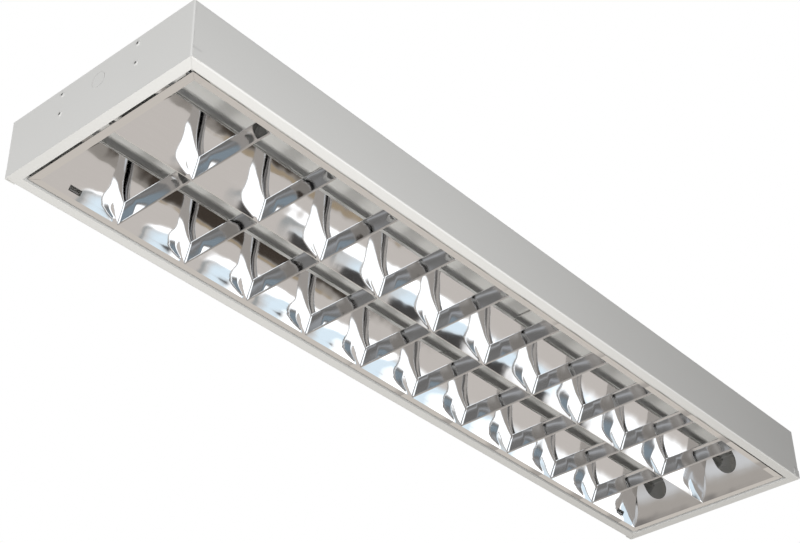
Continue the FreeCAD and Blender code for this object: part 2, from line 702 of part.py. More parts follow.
def holder_place(thing, end, row):
    """Puts a piece drawn about the lamp axis, front face at X = 0, on its end and row."""
    sign = ENDS[end]
    at = (f"{sign} * {HOLDER_X}", f"{ROWS[row]} * {ROW_Y}", "-D.lamp_drop")
    return settle(thing, at, None if sign > 0 else HALF_TURN)


def make_lampholder(end, row):
    label = f"lampholder_body_{end}_{row}"
    body = new_body(label)
    half = "D.holder_width / 2"
    shell = [
        (minus(half), "D.holder_rise"),
        (minus(half), "0"),
        ("0", minus(half), "arc"),
        (half, "0"),
        (half, "D.holder_rise"),
    ]
    pad(body, draw(body, label + "_shell", "YZ_Plane", [shell]), "D.holder_depth")
    hollow = [("0", "0", "D.rotor_diameter / 2 + D.running_fit")]
    recess = draw_circles(body, label + "_recess", "YZ_Plane", hollow)
    hollow_depth = "D.rotor_depth + D.contact_depth"
    pocket(body, recess, hollow_depth, back=True)
    entry = [
        ("-D.pin_slot / 2", "0"),
        ("-D.pin_slot / 2", f"-{half} - D.seam"),
        ("D.pin_slot / 2", f"-{half} - D.seam"),
        ("D.pin_slot / 2", "0"),
    ]
    pocket(body, draw(body, label + "_entry", "YZ_Plane", [entry]), hollow_depth, back=True)
    room = [("0", "D.lamp_drop - D.rivet_lower", "D.rivet_head / 2")]
    rear = draw_circles(body, label + "_room", "YZ_Plane", room, "D.holder_depth")
    pocket(body, rear, "D.rivet_room")
    wire_hole = [("D.wire_entry", "0", "D.wire / 2 + 2 * D.seam")]
    top = draw_circles(body, label + "_wire_hole", "XY_Plane", wire_hole, "D.holder_rise")
    pocket(body, top, "D.wire_hole_depth")
    holder_place(body, end, row)
    node(body, label)

    label = f"lampholder_rotor_{end}_{row}"
    rotor = new_body(label)
    disc = draw_circles(rotor, label + "_disc", "YZ_Plane", [("0", "0", "D.rotor_diameter / 2")])
    pad(rotor, disc, "D.rotor_depth")
    slot = [
        ("-D.pin_slot / 2", "-D.rotor_diameter"),
        ("D.pin_slot / 2", "-D.rotor_diameter"),
        ("D.pin_slot / 2", "D.contact_spacing / 2 + D.pin_slot / 2"),
        ("-D.pin_slot / 2", "D.contact_spacing / 2 + D.pin_slot / 2"),
    ]
    pocket(rotor, draw(rotor, label + "_slot", "YZ_Plane", [slot]), "D.rotor_depth", back=True)
    holder_place(rotor, end, row)
    node(rotor, label)

    label = f"lampholder_contacts_{end}_{row}"
    strips = []
    for side in (-1, 1):
        across = f"{side} * D.contact_spacing / 2 - D.contact_width / 2"
        tall = "D.rotor_diameter / 2"
        at = ("D.rotor_depth + D.contact_depth - D.contact", across, f"-{tall} / 2")
        strips.append(block(f"{label}_{side + 1}", ("D.contact", "D.contact_width", tall), at))
    contacts = group(label, strips)
    holder_place(contacts, end, row)
    node(contacts, label)

    label = f"lampholder_bracket_{end}_{row}"
    tall = "D.lamp_drop + D.holder_width / 2 - D.bracket_top"
    at = ("D.holder_depth", "-D.bracket_width / 2", "-D.holder_width / 2")
    plate = block(label + "_plate", ("D.plate", "D.bracket_width", tall), at)
    holes = []
    for spot in ("upper", "lower"):
        at = ("D.holder_depth - D.plate", "0", f"D.lamp_drop - D.rivet_{spot}")
        holes.append(rod(f"{label}_{spot}", "D.rivet_shank / 2 + D.seam", "3 * D.plate", at, ALONG_X))
    bracket = boolean("Cut", label, plate, holes)
    holder_place(bracket, end, row)
    node(bracket, label)


def make_rivet(name, end, row, spot):
    body = new_body(name)
    grip = "(D.steel + D.plate)"
    head = "D.rivet_head / 2"
    shank = "D.rivet_shank / 2"
    outline = [
        (f"{shank} / 2", "D.rivet_head_height"),
        (shank, "D.rivet_head_height"),
        (head, "D.rivet_head_height / 4"),
        (head, "0"),
        (shank, "0"),
        (shank, minus(grip)),
        (f"{shank} * 1.4", minus(grip)),
        (shank, f"-{grip} - D.rivet_head_height"),
        (f"{shank} / 2", f"-{grip} - D.rivet_head_height"),
    ]
    turned(body, name + "_turn", outline)
    sign = ENDS[end]
    at = (f"{sign} * {HALF_L}", f"{ROWS[row]} * {ROW_Y}", f"-D.rivet_{spot}")
    return settle(body, at, ALONG_X if sign > 0 else FROM_X)


def make_rivets():
    for end in ENDS:
        label = f"holder_rivets_{end}"
        rivets = []
        for row in ROWS:
            for spot in ("upper", "lower"):
                rivets.append(make_rivet(f"{label}_{row}_{spot}", end, row, spot))
        node(group(label, rivets), label)


# Control gear on the top pan, in the hollow of the spine


def ballast_screw_x(end):
    return f"D.ballast_x + {end} * (D.ballast_length / 2 + D.ballast_foot / 2)"


def make_ballast():
    body = new_body("ballast")
    half = "D.ballast_width / 2"
    top, low = "-D.steel", "-D.steel - D.ballast_height"
    bevel = "D.ballast_height / 5"
    section = [
        (minus(half), top),
        (minus(half), f"{low} + {bevel}"),
        (f"-{half} + {bevel}", low),
        (f"{half} - {bevel}", low),
        (half, f"{low} + {bevel}"),
        (half, top),
    ]
    case = draw(body, "ballast_section", "YZ_Plane", [section], "D.ballast_x")
    pad(body, case, "D.ballast_length", both_ways=True)
    reach = "(D.ballast_length / 2 + D.ballast_foot)"
    corners = ((-1, -1), (1, -1), (1, 1), (-1, 1))
    plan = [(f"D.ballast_x + {a} * {reach}", f"{b} * {half}") for a, b in corners]
    pad(body, draw(body, "ballast_feet", "XY_Plane", [plan], top), "D.foot", back=True)
    holes = [(ballast_screw_x(end), "0", "D.screw_shank / 2 + D.seam") for end in (-1, 1)]
    depth = "2 * (D.steel + 2 * D.foot)"
    pocket(body, draw_circles(body, "ballast_holes", "XY_Plane", holes), depth, both_ways=True)
    node(body, "ballast")


def make_screws():
    screws = []
    for end in (-1, 1):
        body = new_body(f"ballast_screw{end}")
        under = "-D.steel - D.foot"
        outline = [
            ("0", "0"),
            ("D.screw_shank / 2", "0"),
            ("D.screw_shank / 2", under),
            ("D.screw_head / 2", under),
            ("D.screw_head / 2", f"{under} - D.screw_head_height / 2"),
            ("D.screw_head / 3", f"{under} - D.screw_head_height"),
            ("0", f"{under} - D.screw_head_height"),
        ]
        turned(body, f"ballast_screw{end}_turn", outline)
        screws.append(settle(body, (ballast_screw_x(end), "0", "0")))
    node(group("ballast_screws", screws), "ballast_screws")


def block_way_x(number):
    return f"D.block_x + D.block_length * ({number + 1} - (D.block_ways + 1) / 2) / D.block_ways"


def make_terminal_block():
    body = new_body("terminal_block")
    half = "D.block_width / 2"
    low = "-D.steel - D.block_height"
    step = "D.block_height / 3"
    section = [
        (minus(half), "-D.steel"),
        (minus(half), f"{low} + {step}"),
        (f"-{half} / 2", low),
        (f"{half} / 2", low),
        (half, f"{low} + {step}"),
        (half, "-D.steel"),
    ]
    case = draw(body, "block_section", "YZ_Plane", [section], "D.block_x")
    pad(body, case, "D.block_length", both_ways=True)
    ways = int(measure("D.block_ways"))
    wires = []
    wells = []
    for number in range(ways):
        across = block_way_x(number)
        wires.append((across, BLOCK_WIRE_Z, "D.block_hole / 2"))
        wells.append((across, "0", "D.block_hole / 2"))
    pocket(body, draw_circles(body, "block_wires", "XZ_Plane", wires), "2 * D.block_width", both_ways=True)
    well_face = draw_circles(body, "block_wells", "XY_Plane", wells, low)
    pocket(body, well_face, "D.block_height / 3", back=True)
    node(body, "terminal_block")
    screws = []
    for number, (across, _, radius) in enumerate(wells):
        at = (across, "0", f"{low} + D.block_height / 6")
        screws.append(rod(f"terminal_screw{number}", f"{radius} - D.seam", "D.block_height / 6", at))
    node(group("terminal_screws", screws), "terminal_screws")


def make_earth_stud():
    at = ("D.earth_x", "0", "-D.earth_length")
    stud = rod("earth_stud_rod", "D.screw_shank / 2", "D.earth_length", at)
    nut = doc.addObject("Part::Prism", "earth_nut")
    nut.Polygon = 6
    nut.setExpression("Circumradius", "D.nut_width / 2 / cos(30 deg)")
    nut.setExpression("Height", "D.nut_height")
    settle(nut, ("D.earth_x", "0", "-D.steel - D.nut_height"))
    bore = rod("earth_nut_bore", "D.screw_shank / 2 + D.running_fit", "2 * D.earth_length",
               ("D.earth_x", "0", "-1.5 * D.earth_length"))
    node(group("earth_stud", [stud, boolean("Cut", "earth_nut_cut", nut, [bore])]), "earth_stud")


def make_entry_bush():
    body = new_body("entry_bush")
    spigot = "D.entry_diameter / 2 - D.running_fit"
    outline = [
        ("D.bush_bore / 2", "0"),
        (spigot, "0"),
        (spigot, "-D.steel"),
        ("D.bush_flange / 2", "-D.steel"),
        ("D.bush_flange / 2", "-D.steel - D.bush_depth / 2"),
        (spigot, "-D.steel - D.bush_depth"),
        ("D.bush_bore / 2", "-D.steel - D.bush_depth"),
    ]
    turned(body, "bush_turn", outline)
    node(settle(body, ("D.entry_x", "0", "0")), "entry_bush")


def make_wire(name, stops):
    """A wire through a list of stops: each run follows one axis, with a quarter bend at every corner."""
    spots = [Vector(*(measure(part) for part in stop)) for stop in stops]
    ways = [(after - before).normalize() for before, after in zip(spots, spots[1:])]
    last = len(ways) - 1
    pieces = []
    for number, way in enumerate(ways):
        axis = max(range(3), key=lambda index: abs(way[index]))
        sign = 1 if way[axis] > 0 else -1
        start = list(stops[number])
        corners = (number > 0) + (number < last)
        span = f"{sign} * (({stops[number + 1][axis]}) - ({start[axis]}))"
        if number:
            start[axis] = f"{start[axis]} + {sign} * D.wire_bend"
        length = f"{span} - {corners} * D.wire_bend"
        turn = Rotation(Vector(0, 0, 1), way)
        pieces.append(rod(f"{name}_run{number}", "D.wire / 2", length, start, turn))
        if number == last:
            break
        leaving = ways[number + 1]
        bend = doc.addObject("Part::Torus", f"{name}_bend{number}")
        bend.setExpression("Radius1", "D.wire_bend")
        bend.setExpression("Radius2", "D.wire / 2")
        bend.Angle3 = 90
        shift = [round(leaving[index] - way[index]) for index in range(3)]
        centre = [f"{stops[number + 1][index]} + {shift[index]} * D.wire_bend" for index in range(3)]
        turn = Rotation(leaving * -1, way, way.cross(leaving), "XYZ")
        pieces.append(settle(bend, centre, turn))
    whole = doc.addObject("Part::MultiFuse", name)
    whole.Shapes = pieces
    whole.Refine = True
    return whole


def make_wires():
    lamp_wires = []
    for end, sign in ENDS.items():
        start_x = f"D.ballast_x + {sign} * D.ballast_length / 2"
        turn_x = f"{start_x} + {sign} * D.wire_out"
        holder_x = f"{sign} * ({HOLDER_X} + D.wire_entry)"
        for row, side in ROWS.items():
            near, far = f"{side} * D.wire_offset", f"{side} * {ROW_Y}"
            stops = [
                (start_x, near, "-D.wire_drop"),
                (turn_x, near, "-D.wire_drop"),
                (turn_x, far, "-D.wire_drop"),
                (holder_x, far, "-D.wire_drop"),
                (holder_x, far, "-D.lamp_drop + D.holder_rise - D.wire_hole_depth + D.seam"),
            ]
            lamp_wires.append(make_wire(f"lamp_wire_{end}_{row}", stops))
    node(group("lamp_wires", lamp_wires), "lamp_wires")
    leads = []
    for number, side in enumerate(ROWS.values()):
        across = f"{side} * D.lead_offset"
        stops = [
            ("D.ballast_x + D.ballast_length / 2", across, BLOCK_WIRE_Z),
            (block_way_x(number), across, BLOCK_WIRE_Z),
            (block_way_x(number), f"{side} * D.block_width / 4", BLOCK_WIRE_Z),
        ]
        leads.append(make_wire(f"mains_lead{number}", stops))
    node(group("mains_leads", leads), "mains_leads")


def write_parts():
    doc.recompute()
    for thing in doc.Objects:
        if {"Invalid", "Error"} & set(thing.State):
            raise RuntimeError(f"{thing.Name} failed: {thing.State}")
    for thing in nodes:
        if thing.Shape.isNull() or not thing.Shape.isValid():
            raise RuntimeError(f"{thing.Label} has no valid shape")
    os.makedirs("parts", exist_ok=True)
    for thing in nodes:
        thing.Shape.exportStep(f"parts/{thing.Label}.step")
        print(thing.Label, len(thing.Shape.Solids), round(thing.Shape.Volume, 1))
    print(len(nodes), "nodes")


def main():
    make_body_shell()
    spaces = {row: make_row_space(row) for row in ROWS}
    for row in ROWS:
        make_side_reflector(row)
    make_spine()
    make_blades(spaces)
    for end in ENDS:
        make_end_cap(end)
        make_end_reflector(end, spaces)
        make_hinge_plate(end)
        make_catch_spring(end)
        for row in ROWS:
            make_lampholder(end, row)
    corners = [make_louvre_plate(f"corner_plate_{end}", sign, 1) for end, sign in ENDS.items()]
    node(group("corner_plates", corners), "corner_plates")
    make_hinge_pins()
    make_rivets()
    make_ballast()
    make_screws()
    make_terminal_block()
    make_earth_stud()
    make_entry_bush()
    make_wires()
    write_parts()


main()
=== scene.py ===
"""Looks of a surface mounted louvre light: painted steel box, mirror louvre, lampholders, gear and stage.

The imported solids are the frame. Everything is in metres, with X along the light and Z up into the ceiling.
"""
import math
import typing

import bpy
from mathutils import Matrix, Quaternion, Vector


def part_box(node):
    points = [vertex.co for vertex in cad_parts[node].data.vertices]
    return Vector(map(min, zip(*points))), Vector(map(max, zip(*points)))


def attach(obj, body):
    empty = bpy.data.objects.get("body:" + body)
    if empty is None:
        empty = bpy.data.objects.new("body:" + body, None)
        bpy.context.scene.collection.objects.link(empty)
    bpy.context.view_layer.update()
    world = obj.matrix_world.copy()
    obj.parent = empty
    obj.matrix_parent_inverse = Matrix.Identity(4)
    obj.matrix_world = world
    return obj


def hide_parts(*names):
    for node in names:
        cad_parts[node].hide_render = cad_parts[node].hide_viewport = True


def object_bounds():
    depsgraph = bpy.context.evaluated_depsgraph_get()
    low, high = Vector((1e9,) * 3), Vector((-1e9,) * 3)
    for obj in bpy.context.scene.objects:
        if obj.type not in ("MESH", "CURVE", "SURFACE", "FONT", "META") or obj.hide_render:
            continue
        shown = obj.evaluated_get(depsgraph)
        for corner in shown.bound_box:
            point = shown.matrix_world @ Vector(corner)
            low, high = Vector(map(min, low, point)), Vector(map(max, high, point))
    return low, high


bl_info = {
    "name": "Louvre light",
    "version": (1, 0, 0),
    "blender": (4, 5, 0),
    "location": "View3D > Sidebar > Louvre light",
    "description": "Dresses the packed louvre light and builds its studio",
    "category": "Object",
}

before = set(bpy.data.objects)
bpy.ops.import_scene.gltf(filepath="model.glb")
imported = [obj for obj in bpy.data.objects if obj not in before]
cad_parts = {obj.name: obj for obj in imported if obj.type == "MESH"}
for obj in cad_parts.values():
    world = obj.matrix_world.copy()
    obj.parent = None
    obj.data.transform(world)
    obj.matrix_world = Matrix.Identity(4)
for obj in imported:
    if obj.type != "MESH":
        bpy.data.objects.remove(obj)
CAD_BOX = [list(corner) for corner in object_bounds()]

MM = 0.001
ROWS = {"front": -1, "rear": 1}
SHEET = 0.5 * MM
REFLECTOR_LIP = 5 * MM
RIVET_HEAD = 6.5 * MM
# Spread of the painted shade in the hollow of each rivet head.
RIVET_HOLLOW_SHADE_AREA = 3.0 * MM * MM
SENSOR_WIDTH = 36.0
WHITE = (1.0, 1.0, 1.0)


def nodes_named(*stems):
    """The frame's nodes whose names start with one of the stems."""
    return [name for name in sorted(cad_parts) if name.startswith(stems)]


SPINE_LOW, SPINE_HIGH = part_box("spine_reflector")
SIDE_LOW, SIDE_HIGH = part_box("side_reflector_rear")
BLADE_NODES = {row: nodes_named(f"cross_blade_{row}_") for row in ROWS}
BLADE_LOW, BLADE_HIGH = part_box(BLADE_NODES["rear"][0])
LAST_BLADE_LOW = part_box(BLADE_NODES["rear"][-1])[0]
BLADE_PITCH = (LAST_BLADE_LOW.x - BLADE_LOW.x) / (len(BLADE_NODES["rear"]) - 1)


def length(name, default, text):
    return bpy.props.FloatProperty(name=name, description=text, default=default, min=0.0, precision=5,
                                   subtype="DISTANCE", unit="LENGTH")


def amount(name, default, text, high=1.0):
    return bpy.props.FloatProperty(name=name, description=text, default=default, min=0.0, max=high,
                                   precision=3)


def power(name, default, text):
    return bpy.props.FloatProperty(name=name, description=text, default=default, min=0.0,
                                   subtype="POWER", unit="POWER")


def colour(name, default, text):
    return bpy.props.FloatVectorProperty(name=name, description=text, default=default, size=3, min=0.0,
                                         max=1.0, subtype="COLOR")


def place(name, default, text):
    return bpy.props.FloatVectorProperty(name=name, description=text, default=default, size=3,
                                         subtype="TRANSLATION", unit="LENGTH")


class LouvreFinishes(bpy.types.PropertyGroup):
    """Colours and gloss of the finishes."""
    paint: colour("Paint", (0.83, 0.83, 0.815), "White stove enamel on the steel box")
    paint_roughness: amount("Paint roughness", 0.34, "Gloss of the enamel")
    mirror: colour("Mirror", (0.86, 0.865, 0.875), "Polished aluminium of the louvre")
    mirror_roughness: amount("Mirror roughness", 0.05, "Blur of the mirror")
    wave_scale: amount("Wave scale", 22.0, "Waves of the mirror sheet per metre", 500.0)
    wave_depth: length("Wave depth", 0.5 * MM, "Height of those waves in a reflector")
    blade_wave: length("Blade wave depth", 0.2 * MM, "Height of those waves in a blade")
    side_sag: amount("Side sag", 0.22, "Turn of a side reflector where it meets the next blade")
    side_foot: amount("Side foot", 0.045, "Turn of a side reflector towards the floor at its foot")
    spine_sag: amount("Spine sag", 0.12, "Turn of the spine where it meets the next blade")
    end_dent: length("End dents", 1.5 * MM, "Depth of the dents at the corners of an end reflector")
    blade_dent: length("Blade dents", 0.15 * MM, "Depth of the dents at the ends of a blade")
    zinc: colour("Zinc", (0.62, 0.63, 0.64), "Plated plates, pins and screws")
    spring: colour("Spring steel", (0.42, 0.43, 0.45), "Catch springs")
    holder: colour("Lampholder", (0.86, 0.855, 0.82), "Moulded lampholders")
    brass: colour("Brass", (0.72, 0.50, 0.20), "Contacts and earth stud")
    gear: colour("Gear case", (0.74, 0.74, 0.72), "Ballast case")
    terminal: colour("Terminal block", (0.83, 0.81, 0.74), "Moulded terminal block")
    rubber: colour("Bush", (0.03, 0.03, 0.03), "Cable entry bush")
    wire: colour("Wire", (0.80, 0.79, 0.77), "Insulation of the wires")


class LouvreBlades(bpy.types.PropertyGroup):
    """Sizes of the cross blades, as the frame gives them."""
    pitch: length("Pitch", BLADE_PITCH, "Spacing of the blades along the light")
    height: length("Height", BLADE_HIGH.z - BLADE_LOW.z, "Height of a blade")
    top_width: length("Top width", BLADE_HIGH.x - BLADE_LOW.x, "Width of a blade at its open top")
    nose_width: length("Nose width", 1.0 * MM, "Width of the folded bottom edge")
    flare: amount("Flare", 0.3, "Share of a flank's spread that comes near its top")
    sheet: length("Sheet", SHEET, "Thickness of the mirror sheet")
    fit: length("Fit", 0.2 * MM, "Gap to the reflectors at both ends")
    lean: length("Reflector lean", SPINE_HIGH.y - SHEET, "How far the reflectors lean in at their top")
    bulge: length("Reflector bulge", 3.8 * MM, "Depth of the reflectors' curve at half height")
    reflector_height: length("Reflector height", SPINE_HIGH.z - SPINE_LOW.z - REFLECTOR_LIP,
                             "Height of the reflectors' curve")


class LouvreStage(bpy.types.PropertyGroup):
    """Floor, lights, panels and camera."""
    floor_drop: length("Floor drop", 6.0, "Floor below the ceiling face")
    floor_size: length("Floor size", 40.0, "Length of the floor's sides")
    floor: colour("Floor", (0.62, 0.59, 0.56), "Pale plain floor")
    ambient: amount("Ambient", 0.09, "Soft light from all round", 5.0)
    key_power: power("Key power", 15.2, "Soft light on the long side")
    key_at: place("Key light", (-0.75, -1.35, -0.9), "Where that light stands")
    low_power: power("Low light power", 8.0, "Long narrow light below the near end")
    low_at: place("Low light", (-0.35, -0.5, -2.5), "Where that light stands")
    end_power: power("End light power", 21.6, "Soft light on the near end")
    end_at: place("End light", (-2.4, 0.2, -0.35), "Where that light stands")
    fill_power: power("Fill power", 38.5, "Soft light beside the camera")
    fill_at: place("Fill light", (-0.55, -0.95, -2.8), "Where that light stands")
    back_power: power("Back light power", 50.0, "Soft light on the top and the back of the box")
    back_at: place("Back light", (1.1, 1.7, 1.3), "Where that light stands")
    panel_reach: length("Panel distance", 14.0, "How far away the panels stand that the mirrors show")
    camera: place("Camera", (-1.4239, -1.1048, -1.2199), "Where the camera stands")
    aim: place("Aim", (-0.1855, -0.0589, -0.0800), "What the camera looks at")
    roll: bpy.props.FloatProperty(name="Roll", description="Turn of the camera about its view",
                                  default=math.radians(-1.067), subtype="ANGLE", unit="ROTATION")
    lens: bpy.props.FloatProperty(name="Lens", description="Focal length in mm", default=73.98,
                                  subtype="DISTANCE_CAMERA", unit="CAMERA")


class Socket:
    """An output socket whose sums add Math nodes to its tree."""

    def __init__(self, owner, socket):
        self.owner = owner
        self.socket = socket

    def sum(self, operation, *values):
        sockets = dict(enumerate(values))
        return self.owner.add("ShaderNodeMath", {"operation": operation}, sockets)

    def __add__(self, other):
        return self.sum("ADD", self, other)

    __radd__ = __add__

    def __sub__(self, other):
        return self.sum("SUBTRACT", self, other)

    def __rsub__(self, other):
        return self.sum("SUBTRACT", other, self)

    def __mul__(self, other):
        return self.sum("MULTIPLY", self, other)

    __rmul__ = __mul__

    def __truediv__(self, other):
        return self.sum("DIVIDE", self, other)

    def __abs__(self):
        return self.sum("ABSOLUTE", self)

    def sign(self):
        return self.sum("SIGN", self)

    def fraction(self):
        return self.sum("FRACT", self)

    def well(self, width):
        """One at zero, falling off smoothly to nothing within a few widths on both sides."""
        share = self / width
        return self.sum("EXPONENT", share * share * -1.0)


class Tree:
    """A node tree with one method that adds a node, sets it up and fills its sockets."""

    def __init__(self, tree):
        self.tree = tree

    def add(self, kind, settings=None, sockets=None, out=0):
        node = self.tree.nodes.new(kind)
        for name, value in (settings or {}).items():
            setattr(node, name, value)
        for name, value in (sockets or {}).items():
            if isinstance(value, Socket):
                self.tree.links.new(value.socket, node.inputs[name])
            else:
                node.inputs[name].default_value = value
        return Socket(self, node.outputs[out]) if node.outputs else node

    def mix(self, factor, first, second):
        """Two colours mixed; the numbers are the colour sockets of Blender's Mix node."""
        sockets = {0: factor, 6: rgba(first), 7: rgba(second)}
        return self.add("ShaderNodeMix", {"data_type": "RGBA"}, sockets, out=2)

    def ease(self, value, start, end, low=0.0, high=1.0):
        """Goes smoothly from low at start to high at end."""
        return self.add("ShaderNodeMapRange", {"interpolation_type": "SMOOTHSTEP"},
                        {"Value": value, "From Min": start, "From Max": end, "To Min": low, "To Max": high})


class Finish(Tree):
    """A material whose nodes are written as sums."""

    def __init__(self, name):
        self.material = bpy.data.materials.new(name)
        self.material.use_nodes = True
        super().__init__(self.material.node_tree)
        self.tree.nodes.clear()
        self.place = self.add("ShaderNodeTexCoord", out="Object")

    def noise(self, scale, detail=3.0, stretch=(1.0, 1.0, 1.0)):
        where = self.add("ShaderNodeMapping", {"vector_type": "POINT"},
                         {"Vector": self.place, "Scale": stretch})
        return self.add("ShaderNodeTexNoise", None, {"Vector": where, "Scale": scale, "Detail": detail})

    def cells(self, scale):
        return self.add("ShaderNodeTexVoronoi", None, {"Vector": self.place, "Scale": scale}, out="Color")

    def axis(self, number):
        return self.add("ShaderNodeSeparateXYZ", None, {0: self.place}, out=number)

    def bump(self, height, strength, distance, below=None):
        sockets = {"Height": height, "Strength": strength, "Distance": distance}
        if below:
            sockets["Normal"] = below
        return self.add("ShaderNodeBump", None, sockets)

    def finish(self, sockets):
        shader = self.add("ShaderNodeBsdfPrincipled", None, sockets)
        self.add("ShaderNodeOutputMaterial", None, {"Surface": shader})
        return self.material


def rgba(value):
    return value if isinstance(value, Socket) else (*value, 1.0)


def shade(tint, factor):
    return tuple(min(1.0, part * factor) for part in tint)


def paint_finish(look):
    """Stove enamel: slow waves of the sheet below it, slow changes of tone and a slightly uneven gloss."""
    finish = Finish("white_enamel")
    cloud = finish.noise(3.0)
    wave = finish.noise(30.0, 0.0)
    speck = finish.noise(1500.0, 1.0)
    tone = finish.mix(cloud, shade(look.paint, 0.965), shade(look.paint, 1.02))
    rough = look.paint_roughness - 0.05 + cloud * 0.06 + speck * 0.05
    normal = finish.bump(wave, 0.3, 0.1 * MM)
    return finish.finish({"Base Color": tone, "Roughness": rough, "Normal": normal, "Coat Weight": 0.1,
                          "Coat Roughness": 0.2})


def rivet_finish(look):
    """Enamelled pop rivets, with painted shade for the dark hollow in the middle of each head."""
    finish = Finish("rivet_enamel")
    low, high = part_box("holder_rivets_left")
    middle, half = (low.z + high.z) / 2, (high.z - low.z) / 2
    off_y = abs(finish.axis(1)) - (high.y - RIVET_HEAD / 2)
    off_z = abs(finish.axis(2) - middle) - (half - RIVET_HEAD / 2)
    hollow_shade = (off_y * off_y + off_z * off_z).well(RIVET_HOLLOW_SHADE_AREA)
    grime = finish.noise(900.0)
    # The near-black middle of each head is painted shade. It stands in for the dark inside the rivet's
    # hollow.
    tone = finish.mix(hollow_shade, shade(look.paint, 0.98), shade(look.paint, 0.03))
    return finish.finish({"Base Color": tone, "Roughness": 0.3 + grime * 0.2 + hollow_shade * 0.3})


def mirror_finish(look, name, grain, wave_depth, shape, *degrees):
    """Polished sheet: rolling streaks, slow waves of thin metal, and the shape that its joints give it."""
    finish = Finish("mirror_" + name)
    along = {"x": (0.04, 1.0, 1.0), "y": (1.0, 0.04, 1.0)}[grain]
    streak = finish.noise(900.0, 2.0, along)
    haze = finish.noise(14.0, 4.0)
    wave = finish.noise(look.wave_scale, 1.5)
    tone = finish.mix(streak, shade(look.mirror, 0.97), shade(look.mirror, 1.015))
    rough = look.mirror_roughness - 0.015 + streak * 0.02 + haze * 0.02
    waves = finish.bump(wave, 1.0, wave_depth)
    normal = shape(finish, waves, *degrees)
    return finish.finish({"Base Color": tone, "Metallic": 1.0, "Roughness": rough, "Normal": normal})


# How far a sheet is free of the next blade, in shares of the blades' spacing.
FREE_SHARE = 0.7
FREE_LOST_PER_BLADE = 0.02
FREE_MORE_AT_FACE = 0.18
FREE_MOST = 0.92
HOLD_EDGE = 0.03
# Turn of a held sheet, and the heights about the blades' top between which the hold ends.
HELD_TURN = 0.065
HOLD_BELOW_TOP = 16 * MM
HOLD_ABOVE_TOP = 9 * MM
# How far from the louvre's face its flange still stiffens or turns a sheet.
FACE_REACH = 8 * MM
FOOT_REACH = 9 * MM
SPINE_DENT_REACH = 16 * MM
SIDE_DENT_REACH = 22 * MM


def sagging(finish, normal, tilt, foot):
    """Turns a sheet that runs along the light towards the next blade, and back where that blade holds it.

    A blade holds more of the sheet towards the far end, and less of it close to the louvre's face.
    """
    along = finish.axis(0) / BLADE_PITCH + 0.5
    past_blade = along.fraction()
    cell = along - past_blade
    near_face = finish.axis(2) - SIDE_LOW.z
    wanted = FREE_SHARE - cell * FREE_LOST_PER_BLADE + near_face.well(FACE_REACH) * FREE_MORE_AT_FACE
    free = wanted.sum("MINIMUM", wanted, FREE_MOST)
    slack = finish.ease(past_blade - free, -HOLD_EDGE, HOLD_EDGE, 1.0, 0.0)
    above_blade = finish.axis(2) - BLADE_HIGH.z
    hold = finish.ease(above_blade, -HOLD_BELOW_TOP, HOLD_ABOVE_TOP, 1.0, 0.0)
    ahead = (slack * (past_blade * tilt + HELD_TURN) - HELD_TURN) * hold
    down = near_face.well(FOOT_REACH) * -foot
    turn = finish.add("ShaderNodeCombineXYZ", None, {0: ahead, 2: down})
    turned = finish.add("ShaderNodeVectorMath", {"operation": "ADD"}, {0: normal, 1: turn})
    return finish.add("ShaderNodeVectorMath", {"operation": "NORMALIZE"}, {0: turned})


def dented(finish, normal, depth):
    """Dents at the ends of a sheet that runs across the light, at the spine and at the sides."""
    from_spine = abs(finish.axis(1))
    at_spine = from_spine.well(SPINE_DENT_REACH)
    at_side = (from_spine - SIDE_HIGH.y).well(SIDE_DENT_REACH)
    return finish.bump(1.0 - 0.5 * (at_spine + at_side), 1.0, depth, normal)


def plated_finish(name, tint, roughness, spangle):
    """Plated or bright steel with a spangled tone and a fine scratch."""
    finish = Finish(name)
    patch = finish.cells(spangle)
    scratch = finish.noise(1600.0, 2.0, (1.0, 0.05, 1.0))
    tone = finish.mix(patch, shade(tint, 0.86), shade(tint, 1.08))
    rough = roughness + scratch * 0.12
    normal = finish.bump(scratch, 0.08, 0.05 * MM)
    return finish.finish({"Base Color": tone, "Metallic": 1.0, "Roughness": rough, "Normal": normal})


def brass_finish(look):
    """Plain brass, a little tarnished in patches."""
    finish = Finish("contact_brass")
    tarnish = finish.noise(180.0, 5.0)
    tone = finish.mix(tarnish, shade(look.brass, 1.1), shade(look.brass, 0.55))
    return finish.finish({"Base Color": tone, "Metallic": 1.0, "Roughness": 0.22 + tarnish * 0.2})


def moulded_finish(name, tint, roughness):
    """Moulded plastic: fine spark texture and slow changes of tone."""
    finish = Finish(name)
    cloud = finish.noise(40.0)
    spark = finish.noise(700.0, 2.0)
    tone = finish.mix(cloud, shade(tint, 0.94), shade(tint, 1.03))
    rough = roughness - 0.05 + spark * 0.12
    normal = finish.bump(spark, 0.12, 0.08 * MM)
    return finish.finish({"Base Color": tone, "Roughness": rough, "Normal": normal})


def dress(names, material):
    """Gives CAD nodes a finish, whatever slots they came with."""
    for name in names:
        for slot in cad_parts[name].material_slots:
            slot.material = material


FLANK_POINTS = 49
LENGTH_POINTS = 33


